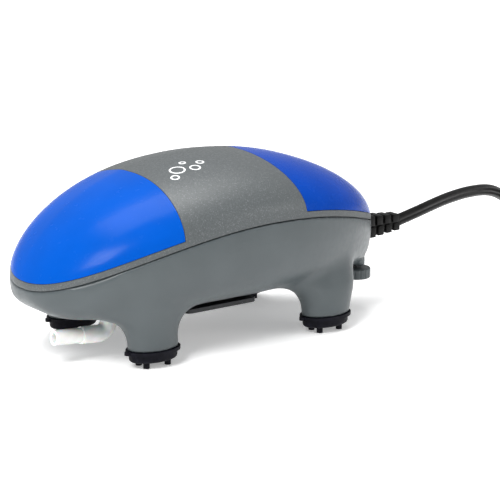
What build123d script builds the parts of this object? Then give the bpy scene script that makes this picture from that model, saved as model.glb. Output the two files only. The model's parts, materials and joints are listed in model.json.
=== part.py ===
from build123d import *

import math
import os

# Aquarium air pump: a swinging-magnet diaphragm pump in a humped two-part housing on four legs.
# Millimetres. X runs nose (-) to tail (+), Y across, Z up. The origin is on the floor, midway
# along the housing and midway across it.

os.makedirs("parts", exist_ok=True)

# ---- Driving dimensions: housing outline -----------------------------------------------------
body_length = 177.0        # nose to tail at the seam
body_width = 90.4          # widest place, at the seam
crown_height = 23.5        # crown above the seam
seam_top = 54.6            # highest point of the seam above the floor
seam_drop_nose = 22.8      # how far the seam falls to the nose
seam_drop_tail = 18.0      # how far the seam falls to the tail
belly_height = 19.0        # underside of the housing above the floor
widest_x = -8.7            # station of the widest place
seam_peak_x = 6.2          # station of the highest seam point
crown_peak_x = -13.0       # station of the crown's highest point
keel_front_x = -68.5       # the underside starts to rise here towards the nose
keel_rear_x = 77.0         # and here towards the tail
crown_power = 2.08         # roundness of the crown's cross-section, 2 is an ellipse
hull_power = 3.6           # the hull's is boxier
hull_power_tail = 2.6      # and rounder at the tail
tail_rounding_x = 35.0     # the hull's roundness changes behind this station

wall = 2.6                 # housing wall
cap_wall = 1.3             # coloured cap skin, let into the upper housing
seam_groove = 0.5          # shadow groove between the two housings
rim_height = 3.2           # grey rim left between seam and caps
cap_gap = 0.25             # gap round each cap
tongue_clearance = 0.1     # between the lower housing's tongue and the upper wall
tongue_rise = 1.8          # tongue above the seam

front_cap_x = -34.3        # rear edge of the front cap on the centre line
front_cap_bow = 3.3        # how far that edge bows forward at the sides
rear_cap_x = 20.0          # front edge of the rear cap on the centre line
rear_cap_bow = 5.5         # how far that edge bows backward at the sides

# ---- Driving dimensions: legs, feet and screws ------------------------------------------------
leg_x = (-45.5, 43.5)      # leg stations
leg_y = 31.0               # leg centre from the middle
leg_half_length = 11.4     # half the leg's oval, along X
leg_half_width = 7.6       # half the leg's oval, along Y
leg_flare = 11.0           # how far the leg spreads where it joins the belly
leg_tail_spread = 6.7      # how far a rear leg leans out towards the tail
leg_lean = 0.8             # how far the leg's outer side leans in below the hull
leg_top_z = 32.0           # where the leg ends inside the hull
leg_cover = 2.4            # hull outside the leg's top
foot_height = 7.4          # floor to the leg's end
nub_height = 2.4           # rubber nub under the foot
foot_lip = 0.9             # lip of the foot beyond the leg
foot_lip_height = 1.4
nub_radius = 1.35
foot_plug_radius = 3.5
foot_plug_height = 5.0

screw_radius = 1.5         # housing screw shank
screw_head_radius = 2.9
screw_head_height = 2.0
screw_seat_z = 30.0        # where the screw heads bear
screw_tip_z = 55.5
screw_clearance = 0.2
column_wall = 1.7

# ---- Driving dimensions: intake filter --------------------------------------------------------
filter_cover_x = (-26.0, 10.0)
filter_cover_half_width = 27.5
filter_cover_thickness = 1.8
filter_window_length = 28.0
filter_window_width = 40.0
felt_thickness = 3.0
tray_wall = 1.5

# ---- Driving dimensions: drive ----------------------------------------------------------------
drive_z = 42.0             # height of the drive's centre plane
arm_y = -5.0               # the lever's centre plane
pivot_x = -58.0
pivot_radius = 1.5
running_clearance = 0.05
arm_thickness = 4.0
arm_height = 8.0
arm_eye_radius = 4.0
core_front_x = 18.0        # pole faces of the iron core
core_length = 36.0
core_width = 40.0
core_stack = 16.0
core_limb = 7.0
centre_limb = 12.0
yoke_depth = 8.0
magnet_gap = 1.2           # air gap between magnet and poles
magnet_thickness = 5.0
magnet_width = 20.0
magnet_height = 12.0
bobbin_wall = 1.0
bobbin_flange = 1.2
winding_half = 11.8        # coil winding, half its outer size across
winding_half_height = 12.5
clamp_post_radius = 2.2    # posts under the strap that holds the core down
clamp_post_gap = 0.8       # between posts and core

# ---- Driving dimensions: pump head ------------------------------------------------------------
head_x = -25.0             # pump head and diaphragm axis, along Y
head_radius = 15.5
chamber_radius = 12.0
diaphragm_rim_y = 3.0
diaphragm_rim = 1.6
chamber_body_depth = 8.0
valve_plate_depth = 3.0
head_cover_depth = 10.0
port_offset = 5.6
port_radius = 1.8
flap_radius = 3.2
flap_thickness = 0.8
flap_tab = 3.4
flap_gap = 0.05            # between a resting flap and its seat
head_bolt_radius = 1.0
head_bolt_circle = 13.7    # radius of the circle the four bolts lie on

# ---- Driving dimensions: air outlet -----------------------------------------------------------
outlet_x = -53.5
outlet_y = -10.0
outlet_bore = 2.0          # radius, for 4/6 mm airline
hose_radius = 3.0
spigot_bore = 1.2
elbow_radius = 3.15
elbow_sleeve_radius = 3.6
elbow_drop = 9.0           # belly to the elbow's axis
elbow_reach = 26.5         # elbow bend to its open end
elbow_rise = 2.2           # the open end stands this much higher

# ---- Driving dimensions: regulator ------------------------------------------------------------
knob_x = 77.3
knob_y = -10.0
knob_radius = 6.2
knob_top_z = 18.0
knob_height = 4.5
spindle_radius = 2.0
pot_radius = 2.9
pot_z = 30.5
pot_height = 5.0

# ---- Driving dimensions: mains lead -----------------------------------------------------------
cord_diameter = 5.6        # the flat lead's width
cord_core_thickness = 3.5
cord_z = 33.0              # height of the exit
relief_root_height = 10.4
relief_end_height = 7.0
relief_root_width = 8.0
relief_end_width = 5.6
relief_length = 20.0
coil_centre = (279.0, 52.0)
coil_mean_radius = 30.0
coil_base_z = 0.9
plug_length = 34.0
plug_width = 35.0
plug_thickness = 14.0
pin_radius = 2.0
pin_length = 19.0
pin_spacing = 18.6

half_length = body_length / 2
half_width = body_width / 2
nose_x = -half_length
tail_x = half_length


# ---- Housing form -----------------------------------------------------------------------------

def seam_height(x):
    if x < seam_peak_x:
        return seam_top - seam_drop_nose * ((seam_peak_x - x) / (seam_peak_x - nose_x)) ** 2
    return seam_top - seam_drop_tail * ((x - seam_peak_x) / (tail_x - seam_peak_x)) ** 2


def station(x, middle, inset):
    """Share of the way from a middle station to the nose or tail, 0 to 1."""
    end = nose_x + inset if x < middle else tail_x - inset
    return min(1.0, max(0.0, (x - middle) / (end - middle)))


def hull_roundness(x):
    share = max(0.0, (x - tail_rounding_x) / (tail_x - tail_rounding_x))
    return hull_power + (hull_power_tail - hull_power) * share


def plan_half_width(x, inset):
    u = station(x, widest_x, inset)
    if x < widest_x:
        return (half_width - inset) * (1 - u ** 2.44) ** (1 / 2.13)
    return (half_width - inset) * (1 - u ** 2.39) ** (1 / 1.6)


def crown_above_seam(x, inset):
    u = station(x, crown_peak_x, inset)
    if x < crown_peak_x:
        return (crown_height - inset) * (1 - u ** 2.57) ** (1 / 2.0)
    return (crown_height - inset) * (1 - u ** 2.42) ** (1 / 2.62)


def keel_below_seam(x, inset):
    middle = keel_front_x if x < 0 else keel_rear_x
    if keel_front_x < x < keel_rear_x:
        rise = 1.0
    else:
        u = station(x, middle, inset)
        rise = (1 - u ** 2.4) ** (1 / 2.2)
    return (seam_height(x) - belly_height - inset) * rise


def outline_knots(steps):
    """Shares of the way round half an outline, the same at every station so that the skin stays light."""
    shares = [0.0]
    last = None
    for i in range(-steps, steps + 1):
        a = math.pi / 2 * abs(i) / steps
        power = hull_power if i < 0 else crown_power
        height = (seam_top - belly_height) if i < 0 else crown_height
        out = abs(math.cos(a)) ** (2 / power) if abs(i) < steps else 0.0
        point = (half_width * out, math.copysign(height * math.sin(a) ** (2 / power), i))
        if last:
            shares.append(shares[-1] + math.dist(last, point))
        last = point
    return [share / shares[-1] for share in shares]


def section(x, inset):
    """Outline of the housing form at station x: a rounded crown over a boxier hull."""
    w = plan_half_width(x, inset)
    up = crown_above_seam(x, inset)
    down = keel_below_seam(x, inset)
    zs = seam_height(x)
    power = hull_roundness(x)
    steps = 6
    side = []
    for i in range(-steps, steps + 1):
        a = math.pi / 2 * abs(i) / steps
        if i < 0:
            out = math.cos(a) ** (2 / power) if i > -steps else 0.0
            side.append((x, w * out, zs - down * math.sin(a) ** (2 / power)))
        else:
            out = math.cos(a) ** (2 / crown_power) if i < steps else 0.0
            side.append((x, w * out, zs + up * math.sin(a) ** (2 / crown_power)))
    mirrored = [(x, -y, z) for x, y, z in side[::-1]]
    knots = outline_knots(steps)
    left = Edge.make_spline(side, tangents=[(0, 1, 0), (0, -1, 0)], parameters=knots)
    back = [1 - k for k in knots[::-1]]
    right = Edge.make_spline(mirrored, tangents=[(0, -1, 0), (0, 1, 0)], parameters=back)
    return Wire([left, right])


def housing_form(inset):
    """The whole closed housing form, moved inwards by inset all over."""
    count = 22
    start = nose_x + inset + 0.12
    end = tail_x - inset - 0.12
    middle = (start + end) / 2
    half = (end - start) / 2
    wires = []
    for i in range(count + 1):
        a = math.pi * i / count
        wires.append(section(middle - half * math.cos(a), inset))
    return Solid.make_loft(wires)


def seam_line(offset):
    """The seam as two parabolas in the XZ plane, from well ahead of the nose to behind the tail."""
    ahead = nose_x - 12
    behind = tail_x + 12
    peak = (seam_peak_x, 0, seam_top + offset)
    left = Bezier(
        (ahead, 0, seam_height(ahead) + offset),
        ((ahead + seam_peak_x) / 2, 0, seam_top + offset),
        peak,
    )
    right = Bezier(
        peak,
        ((behind + seam_peak_x) / 2, 0, seam_top + offset),
        (behind, 0, seam_height(behind) + offset),
    )
    return left, right, ahead, behind


def seam_region(above, offset):
    """Everything above or below the seam, moved up by offset."""
    left, right, ahead, behind = seam_line(offset)
    far = 120.0 if above else -20.0
    start = (ahead, 0, seam_height(ahead) + offset)
    end = (behind, 0, seam_height(behind) + offset)
    sides = Polyline(end, (behind, 0, far), (ahead, 0, far), start)
    face = make_face(Curve() + [left, right, sides])
    return extrude(face, amount=70, dir=(0, 1, 0), both=True)


def cap_region(front, gap):
    """The part of space that a cap takes: above its rim line and beyond its bowed edge."""
    side = 60.0
    if front:
        edge_x = front_cap_x + gap
        bow = -front_cap_bow * (side / half_width) ** 2
        far = nose_x - 20
    else:
        edge_x = rear_cap_x - gap
        bow = rear_cap_bow * (side / half_width) ** 2
        far = tail_x + 20
    arc = ThreePointArc((edge_x + bow, -side, 0), (edge_x, 0, 0), (edge_x + bow, side, 0))
    box = Polyline((edge_x + bow, side, 0), (far, side, 0), (far, -side, 0), (edge_x + bow, -side, 0))
    plan = extrude(make_face(Curve() + [arc, box]), amount=120)
    return plan & seam_region(True, rim_height - gap)


def leg_places():
    return [(x, s * leg_y, s) for x in leg_x for s in (-1, 1)]


def upright(radius, x, y, low, high):
    return Pos(x, y, low) * Cylinder(radius, high - low, align=(Align.CENTER, Align.CENTER, Align.MIN))


def along_y(radius, x, z, low, high):
    turned = Rot(-90, 0, 0) * Cylinder(radius, high - low, align=(Align.CENTER, Align.CENTER, Align.MIN))
    return Pos(x, low, z) * turned


def along_x(radius, y, z, low, high):
    turned = Rot(0, 90, 0) * Cylinder(radius, high - low, align=(Align.CENTER, Align.CENTER, Align.MIN))
    return Pos(low, y, z) * turned


def block(x0, x1, y0, y1, z0, z1):
    corner = (Align.MIN, Align.MIN, Align.MIN)
    return Pos(x0, y0, z0) * Box(x1 - x0, y1 - y0, z1 - z0, align=corner)


def hull_half_width(x, z):
    """Half the width of the hull at a height below the seam."""
    share = (seam_height(x) - z) / keel_below_seam(x, 0)
    power = hull_roundness(x)
    return plan_half_width(x, 0) * (1 - share ** power) ** (1 / power)


def leg(x, y, side):
    """One leg: an oval column that spreads along X and inwards as it meets the belly, then goes on up
    until all of it is inside the hull. Towards the tail the rear legs only lean out."""
    rings = []
    bend_z = belly_height + 1.5
    steps = 8
    outer_edge = abs(y) + leg_half_width
    for i in range(steps + 1):
        a = math.pi / 2 * i / steps
        rise = math.sin(a)
        spread = leg_flare * (1 - math.cos(a)) ** 1.3
        tail_spread = leg_tail_spread * rise ** 1.2 if x > 0 else spread
        half_y = leg_half_width + 0.45 * spread
        centre_y = side * (outer_edge - leg_lean * rise - half_y)
        rings.append(
            Pos(x + (tail_spread - spread) / 2, centre_y, foot_height + (bend_z - foot_height) * rise)
            * Ellipse(leg_half_length + (spread + tail_spread) / 2, half_y)
        )
    outer_edge = min(outer_edge - leg_lean, hull_half_width(x, leg_top_z) - leg_cover)
    rings.append(
        Pos(x, side * (outer_edge - leg_half_width), leg_top_z)
        * Ellipse(leg_half_length + leg_flare / 2, leg_half_width)
    )
    return loft(rings, ruled=True)


floor_z = belly_height + wall
bracket_seat_z = floor_z + 0.8


def make_upper_housing(outer, under_cap, inner):
    shell = (outer & seam_region(True, 0)) - inner
    for front in (True, False):
        shell -= cap_region(front, cap_gap) - under_cap
    groove = seam_region(False, seam_groove) & seam_region(True, -1)
    shell -= groove - under_cap
    for x, y, _ in leg_places():
        boss = upright(screw_radius + column_wall, x, y, seam_height(x) + 0.3, 80) & under_cap
        shell += boss
    for x, y, _ in leg_places():
        shell -= upright(screw_radius, x, y, screw_seat_z, screw_tip_z + 0.5)
    for peg in cap_peg_places():
        shell -= peg_cylinder(peg, 0.0)
    return shell


def cap_peg_places():
    return [(-62.0, -16.0), (-62.0, 16.0), (54.0, -12.0), (54.0, 12.0)]


def peg_cylinder(place, gap):
    return upright(1.6 + gap, place[0], place[1], 50, 90)


def make_cap(front, outer, under_cap, inner):
    region = cap_region(front, 0.0)
    skin = (outer & region) - under_cap
    for place in cap_peg_places():
        if (place[0] < 0) == front:
            skin += (peg_cylinder(place, 0.0) & outer) - inner
    return skin


def make_lower_housing(outer, tongue_root, inner, tongue_outer, tongue_inner):
    solid = outer & seam_region(False, 0)
    for x, y, side in leg_places():
        solid += leg(x, y, side)
    shell = solid - inner
    rise = seam_region(False, tongue_rise) & seam_region(True, -3)
    tongue = (rise & tongue_outer) - tongue_inner
    root = (seam_region(False, -0.1) & seam_region(True, -3) & tongue_root) - tongue_inner
    shell = shell + root + tongue
    for x, y, _ in leg_places():
        column = upright(screw_head_radius + 0.7 + column_wall, x, y, belly_height, seam_height(x) - 0.4)
        shell += column & tongue_root & seam_region(False, -0.1)
    shell += tray()
    shell += core_rests()
    shell += outlet_spigot()
    shell += upright(spindle_radius + 1.6, knob_x, knob_y, belly_height, floor_z + 2)
    shell += block(pivot_x - 9.5, pivot_x - 4.8, arm_y - 10, arm_y + 10, floor_z - 1, bracket_seat_z)
    shell += lead_post()
    shell += board_posts()
    for x, y, _ in leg_places():
        shell -= upright(screw_head_radius + 0.7, x, y, 0, screw_seat_z)
        shell -= upright(screw_radius + screw_clearance, x, y, 0, 80)
    shell -= filter_window()
    shell -= upright(spigot_bore, outlet_x, outlet_y, 0, floor_z + 12)
    shell -= upright(spindle_radius + running_clearance, knob_x, knob_y, 0, floor_z + 5)
    shell -= relief_neck()
    for x, y in clamp_screw_places() + [lead_screw_place()]:
        shell -= upright(clamp_screw_radius, x, y, clamp_z(x) - 8, clamp_z(x) + 1)
    return shell


# ---- Feet and screws --------------------------------------------------------------------------

def make_foot(x, y):
    """Rubber foot: oval pad with a thin lip, four nubs below, a plug above and a pull tab."""
    pad = extrude(Pos(x, y, nub_height) * Ellipse(leg_half_length - 0.4, leg_half_width - 0.4),
                  amount=foot_height - nub_height)
    lip = extrude(
        Pos(x, y, foot_height - foot_lip_height)
        * Ellipse(leg_half_length + foot_lip, leg_half_width + foot_lip),
        amount=foot_lip_height,
    )
    foot = pad + lip
    foot = fillet(foot.edges().filter_by(GeomType.ELLIPSE).group_by(Axis.Z)[0], 1.4)
    tab = upright(1.4, x - leg_half_length - foot_lip, y, foot_height - foot_lip_height, foot_height)
    foot += tab
    for dx in (-5.2, 5.2):
        for dy in (-2.9, 2.9):
            foot += upright(nub_radius, x + dx, y + dy, 0, nub_height + 1)
    foot += upright(foot_plug_radius, x, y, foot_height, foot_height + foot_plug_height)
    return foot


def make_housing_screws():
    screws = []
    for x, y, _ in leg_places():
        screw = upright(screw_head_radius, x, y, screw_seat_z - screw_head_height, screw_seat_z)
        screw += upright(screw_radius, x, y, screw_seat_z, screw_tip_z)
        slot = Pos(x, y, screw_seat_z - screw_head_height) * (
            Box(3.2, 0.8, 1.8) + Box(0.8, 3.2, 1.8)
        )
        screws.append(screw - slot)
    return Compound(children=screws)


# ---- Intake filter ----------------------------------------------------------------------------

def filter_centre():
    return (filter_cover_x[0] + filter_cover_x[1]) / 2


def filter_window():
    x = filter_centre()
    return Pos(x, 0, belly_height + felt_thickness / 2 - 0.5) * Box(
        filter_window_length, filter_window_width, felt_thickness + 1.6
    )


def tray():
    x = filter_centre()
    top = belly_height + felt_thickness + 0.4
    box = Pos(x, 0, (belly_height + 1 + top + tray_wall) / 2) * Box(
        filter_window_length + 2 * tray_wall,
        filter_window_width + 2 * tray_wall,
        top + tray_wall - belly_height - 1,
    )
    for i in range(5):
        for j in range(5):
            hole_x = x + (i - 2) * 4.6
            hole_y = (j - 2) * 6.5
            box -= upright(0.9, hole_x, hole_y, belly_height, top + 5)
    return box


def make_filter_felt():
    x = filter_centre()
    pad = Pos(x, 0, belly_height + 0.1 + felt_thickness / 2) * Box(
        filter_window_length - 3.4, filter_window_width - 0.6, felt_thickness
    )
    return fillet(pad.edges().filter_by(Axis.Z), 1.5)


def make_filter_cover():
    """Snap-in plate under the belly, with intake slots and two latches that reach into the tray."""
    x = filter_centre()
    top = belly_height - 0.1
    low = top - filter_cover_thickness
    length = filter_cover_x[1] - filter_cover_x[0]
    plate = Pos(x, 0, low + filter_cover_thickness / 2) * Box(
        length, 2 * filter_cover_half_width, filter_cover_thickness
    )
    plate = fillet(plate.edges().filter_by(Axis.Z), 3.0)
    for i in range(7):
        slot = Pos(x + (i - 3) * 3.4, 0, low) * SlotOverall(26, 1.4, rotation=90)
        plate -= extrude(slot, amount=filter_cover_thickness)
    for side in (-1, 1):
        wall_x = x + side * filter_window_length / 2
        plate += block(min(wall_x, wall_x - side * 1.4), max(wall_x, wall_x - side * 1.4), -5, 5, top - 0.5, top + 3)
    grip = Pos(x, -filter_cover_half_width + 3.5, low) * Box(14, 1.6, 1.2)
    return plate - grip


# ---- Electromagnet ----------------------------------------------------------------------------

core_back_x = core_front_x + core_length
rest_z = drive_z - core_stack / 2 - 1.5
limb_y = core_width / 2 - core_limb / 2
clamp_screw_radius = 1.25
clamp_top = drive_z + core_stack / 2
strap_thickness = 1.2


def core_rests():
    rests = Part()
    for x in (core_front_x + 8, core_back_x - 5):
        for y in (arm_y - limb_y, arm_y + limb_y):
            rests += block(x - 2, x + 2, y - 3, y + 3, floor_z - 1, rest_z)
    for x, y in clamp_screw_places():
        rests += upright(clamp_post_radius, x, y, floor_z - 1, clamp_top)
    return rests


def clamp_screw_places():
    x = core_back_x - yoke_depth / 2
    reach = core_width / 2 + clamp_post_gap + clamp_post_radius
    return [(x, arm_y - reach), (x, arm_y + reach)]


def clamp_z(x):
    return clamp_top if x < core_back_x else lead_clamp_z


def make_damping_pads():
    pads = []
    for x in (core_front_x + 8, core_back_x - 5):
        for y in (arm_y - limb_y, arm_y + limb_y):
            pads.append(block(x - 2, x + 2, y - 3, y + 3, rest_z, rest_z + 1.5))
    return Compound(children=pads)


def make_core():
    low = drive_z - core_stack / 2
    high = drive_z + core_stack / 2
    core = block(core_front_x, core_back_x, arm_y - core_width / 2, arm_y + core_width / 2, low, high)
    inner = core_width / 2 - core_limb
    for side in (-1, 1):
        y0 = arm_y + side * centre_limb / 2
        y1 = arm_y + side * inner
        core -= block(core_front_x - 1, core_back_x - yoke_depth, min(y0, y1), max(y0, y1), low - 1, high + 1)
    return core


def bobbin_span():
    return core_front_x + 2.5, core_back_x - yoke_depth - 0.5


def make_bobbin():
    x0, x1 = bobbin_span()
    hole_y = centre_limb / 2 + 0.15
    hole_z = core_stack / 2 + 0.15
    tube_y = hole_y + bobbin_wall
    tube_z = hole_z + bobbin_wall
    bobbin = block(x0, x1, arm_y - tube_y, arm_y + tube_y, drive_z - tube_z, drive_z + tube_z)
    edge_y = winding_half + 0.7
    edge_z = winding_half_height + 0.7
    for x in (x0, x1 - bobbin_flange):
        bobbin += block(x, x + bobbin_flange, arm_y - edge_y, arm_y + edge_y, drive_z - edge_z, drive_z + edge_z)
    for y in (-7.0, 7.0):
        bobbin += block(x1 - 5, x1, arm_y + y - 2, arm_y + y + 2, drive_z + edge_z - 0.2, drive_z + edge_z + 2.5)
    return bobbin - block(x0 - 1, x1 + 1, arm_y - hole_y, arm_y + hole_y, drive_z - hole_z, drive_z + hole_z)


def make_winding():
    x0, x1 = bobbin_span()
    tube_y = centre_limb / 2 + 0.15 + bobbin_wall
    tube_z = core_stack / 2 + 0.15 + bobbin_wall
    length = x1 - x0 - 2 * bobbin_flange
    middle = (x0 + x1) / 2
    coil = Pos(middle, arm_y, drive_z) * Box(length, 2 * winding_half, 2 * winding_half_height)
    coil = fillet(coil.edges().filter_by(Axis.X), 3.0)
    return coil - Pos(middle, arm_y, drive_z) * Box(length + 2, 2 * tube_y, 2 * tube_z)


def make_terminals():
    _, x1 = bobbin_span()
    pins = []
    for y in (-7.0, 7.0):
        pins.append(upright(0.5, x1 - 2.5, arm_y + y, drive_z + winding_half_height + 1.6,
                            drive_z + winding_half_height + 6.5))
    return Compound(children=pins)


def make_core_clamp():
    (x, y0), (_, y1) = clamp_screw_places()
    low = y0 - clamp_post_radius
    high = y1 + clamp_post_radius
    strap = block(x - 3.5, x + 3.5, low, high, clamp_top, clamp_top + strap_thickness)
    strap = fillet(strap.edges().filter_by(Axis.Z), 2.0)
    for y in (y0, y1):
        strap -= upright(clamp_screw_radius, x, y, clamp_top - 1, clamp_top + 3)
    return strap


def make_clamp_screws():
    screws = []
    for x, y in clamp_screw_places():
        seat = clamp_top + strap_thickness
        screw = upright(clamp_screw_radius, x, y, clamp_top - 7, seat)
        screw += upright(2.1, x, y, seat, seat + 1.6)
        screws.append(screw - Pos(x, y, seat + 1.6) * Box(3.0, 0.7, 1.2))
    return Compound(children=screws)


# ---- Swinging lever ---------------------------------------------------------------------------

magnet_x = core_front_x - magnet_gap - magnet_thickness


def make_lever():
    arm = block(pivot_x, magnet_x - 1.6, arm_y - arm_thickness / 2, arm_y + arm_thickness / 2,
                drive_z - arm_height / 2, drive_z + arm_height / 2)
    arm += upright(arm_eye_radius, pivot_x, arm_y, drive_z - arm_height / 2, drive_z + arm_height / 2)
    arm += block(magnet_x - 1.6, magnet_x, arm_y - magnet_width / 2, arm_y + magnet_width / 2,
                 drive_z - magnet_height / 2, drive_z + magnet_height / 2)
    arm -= upright(pivot_radius + running_clearance, pivot_x, arm_y, drive_z - 10, drive_z + 10)
    return arm - along_y(diaphragm_bolt_radius, head_x, drive_z, arm_y - 5, arm_y + 5)


def make_magnet():
    return Pos(magnet_x + magnet_thickness / 2, arm_y, drive_z) * Box(
        magnet_thickness, magnet_width, magnet_height
    )


def make_pivot_pin():
    return upright(pivot_radius, pivot_x, arm_y, drive_z - arm_height / 2 - 4, drive_z + arm_height / 2 + 4)


def make_pivot_bracket():
    """A fork that holds the lever's pivot pin above and below the lever."""
    gap = arm_height / 2 + 0.4
    ear = 3.2
    low = drive_z - gap - ear
    high = drive_z + gap + ear
    fork = block(pivot_x - 8.5, pivot_x - 4.8, arm_y - 6, arm_y + 6, bracket_seat_z, high)
    for z in (low, high - ear):
        fork += block(pivot_x - 5, pivot_x + 3.5, arm_y - 4, arm_y + 4, z, z + ear)
    fork += block(pivot_x - 9.5, pivot_x - 4.8, arm_y - 10, arm_y + 10, bracket_seat_z, bracket_seat_z + 2.4)
    return fork - upright(pivot_radius, pivot_x, arm_y, low - 1, high + 1)


# ---- Pump head --------------------------------------------------------------------------------

diaphragm_bolt_radius = 1.25
arm_face_y = arm_y + arm_thickness / 2
chamber_y = diaphragm_rim_y + diaphragm_rim
plate_y = chamber_y + chamber_body_depth
cover_y = plate_y + valve_plate_depth
head_back_y = cover_y + head_cover_depth


def make_diaphragm():
    """Rubber cup: a clamped rim, a thin rolled wall and a thick centre that the lever pushes."""
    rim = along_y(chamber_radius + 2.2, head_x, drive_z, diaphragm_rim_y, chamber_y)
    rim -= along_y(chamber_radius - 1.0, head_x, drive_z, diaphragm_rim_y - 1, chamber_y + 1)
    hub_y = arm_face_y + 1.0
    wall_cone = Pos(head_x, (hub_y + chamber_y) / 2, drive_z) * (
        Rot(-90, 0, 0) * (
            Cone(7.2, chamber_radius, chamber_y - hub_y)
            - Cone(6.2, chamber_radius - 1.0, chamber_y - hub_y + 0.02)
        )
    )
    hub = along_y(7.0, head_x, drive_z, hub_y, hub_y + 1.6)
    cup = rim + wall_cone + hub - head_bolt_holes()
    return cup - along_y(diaphragm_bolt_radius, head_x, drive_z, hub_y - 1, hub_y + 3)


def make_diaphragm_washers():
    hub_y = arm_face_y + 1.0
    washers = []
    for low, thickness in ((arm_face_y, 1.0), (hub_y + 1.6, 0.8)):
        disc = along_y(4.2, head_x, drive_z, low, low + thickness)
        washers.append(disc - along_y(diaphragm_bolt_radius, head_x, drive_z, low - 1, low + 2))
    return Compound(children=washers)


def make_diaphragm_bolt():
    end_y = arm_face_y + 1.0 + 1.6 + 0.8
    head_y = arm_y - arm_thickness / 2
    bolt = along_y(diaphragm_bolt_radius, head_x, drive_z, head_y, end_y)
    bolt += along_y(2.3, head_x, drive_z, head_y - 1.6, head_y)
    bolt += along_y(2.3, head_x, drive_z, end_y, end_y + 1.4)
    return bolt - Pos(head_x, head_y - 1.6, drive_z) * Box(3.4, 1.2, 0.7)


def make_clamp_ring():
    ring = along_y(head_radius, head_x, drive_z, diaphragm_rim_y - 2.0, chamber_y)
    ring -= along_y(chamber_radius + 0.4, head_x, drive_z, diaphragm_rim_y - 3, chamber_y + 1)
    ring -= along_y(chamber_radius + 2.2, head_x, drive_z, diaphragm_rim_y, chamber_y + 1)
    return ring - head_bolt_holes()


def make_chamber_body():
    body = along_y(head_radius, head_x, drive_z, chamber_y, plate_y)
    body -= along_y(chamber_radius, head_x, drive_z, chamber_y - 1, plate_y + 1)
    foot = block(head_x - 8, head_x + 8, chamber_y, plate_y, tray_top, drive_z - chamber_radius - 0.5)
    return body + foot - along_y(chamber_radius, head_x, drive_z, chamber_y - 1, plate_y + 1) - head_bolt_holes()


tray_top = belly_height + felt_thickness + 0.4 + tray_wall


def make_valve_plate():
    plate = along_y(head_radius, head_x, drive_z, plate_y, cover_y)
    for side in (-1, 1):
        plate -= along_y(port_radius, head_x + side * port_offset, drive_z, plate_y - 1, cover_y + 1)
    return plate - head_bolt_holes()


def make_flap(side):
    """Rubber flap over a valve port: a round tongue with a tab that is pinned above the port."""
    low = plate_y - flap_thickness - flap_gap if side < 0 else cover_y + flap_gap
    x = head_x - side * port_offset
    face = Circle(flap_radius) + Pos(0, flap_tab / 2 + 1) * Rectangle(3.6, flap_tab + 2)
    tongue = extrude(face, amount=flap_thickness)
    return Pos(x, low + flap_thickness, drive_z) * (Rot(90, 0, 0) * tongue)


def make_head_cover():
    cover = along_y(head_radius, head_x, drive_z, cover_y, head_back_y)
    depth = head_cover_depth - 1.8
    for side in (-1, 1):
        room = block(min(side * 1.0, side * 11.0), max(side * 1.0, side * 11.0), 0, depth, -7.5, 7.5)
        cover -= Pos(head_x, cover_y - 0.001, drive_z) * room
    x_edge = head_x - head_radius
    nozzle_y = cover_y + head_cover_depth / 2
    cover -= head_bolt_holes()
    outlet_z = drive_z - 4.5
    cover += along_x(outlet_bore, nozzle_y, outlet_z, x_edge - 6, head_x - 11.5)
    cover -= along_x(spigot_bore, nozzle_y, outlet_z, x_edge - 8, head_x - 9)
    inlet = upright(1.6, head_x + 6, nozzle_y, drive_z - head_radius - 4, drive_z - 6)
    return cover - inlet


def head_bolt_places():
    angles = [math.radians(45 + 90 * i) for i in range(4)]
    return [(head_x + head_bolt_circle * math.cos(a), drive_z + head_bolt_circle * math.sin(a)) for a in angles]


def head_bolt_holes():
    bolts = Part()
    for x, z in head_bolt_places():
        bolts += along_y(head_bolt_radius, x, z, diaphragm_rim_y - 3, head_back_y + 1)
    return bolts


def make_head_bolts():
    bolts = []
    for x, z in head_bolt_places():
        bolt = along_y(head_bolt_radius, x, z, diaphragm_rim_y - 1.9, head_back_y)
        bolt += along_y(1.8, x, z, head_back_y, head_back_y + 1.4)
        bolts.append(bolt - Pos(x, head_back_y + 1.4, z) * Box(2.6, 1.0, 0.6))
    return Compound(children=bolts)


# ---- Air outlet -------------------------------------------------------------------------------

def tube_path(points, radius):
    return FilletPolyline(*points, radius=radius)


def round_tube(path, radius, bore):
    start = Plane(origin=path @ 0, z_dir=path % 0)
    ring = start * Circle(radius)
    if bore:
        ring -= start * Circle(bore)
    return sweep(ring, path=path)


def outlet_spigot():
    return upright(outlet_bore, outlet_x, outlet_y, belly_height - 3.5, floor_z + 5.5)


def make_inner_hose():
    nozzle_y = cover_y + head_cover_depth / 2
    start_x = head_x - head_radius - 0.2
    z = drive_z - 4.5
    points = [
        (start_x, nozzle_y, z),
        (outlet_x + 3, nozzle_y, z),
        (outlet_x + 3, outlet_y + 11, floor_z + 8),
        (outlet_x, outlet_y, floor_z + 8),
        (outlet_x, outlet_y, floor_z + 0.4),
    ]
    return round_tube(tube_path(points, 3.6), hose_radius, outlet_bore)


def make_outlet_elbow():
    z = belly_height - elbow_drop
    corner = (outlet_x, outlet_y, z)
    end = (outlet_x - elbow_reach, outlet_y, z + elbow_rise)
    direction = Vector(*end) - Vector(*corner)
    sleeve_end = Vector(*corner) + direction * 0.52
    elbow = round_tube(
        tube_path([(outlet_x, outlet_y, belly_height - 0.1), corner, tuple(sleeve_end)], 5.0),
        elbow_sleeve_radius, 0,
    )
    elbow += round_tube(Line(tuple(sleeve_end - direction * 0.02), end), elbow_radius, 0)
    bore_start = (outlet_x, outlet_y, belly_height + 1)
    bore_end = tuple(Vector(*end) + direction * 0.05)
    return elbow - round_tube(tube_path([bore_start, corner, bore_end], 5.0), outlet_bore, 0)


# ---- Regulator --------------------------------------------------------------------------------

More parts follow.
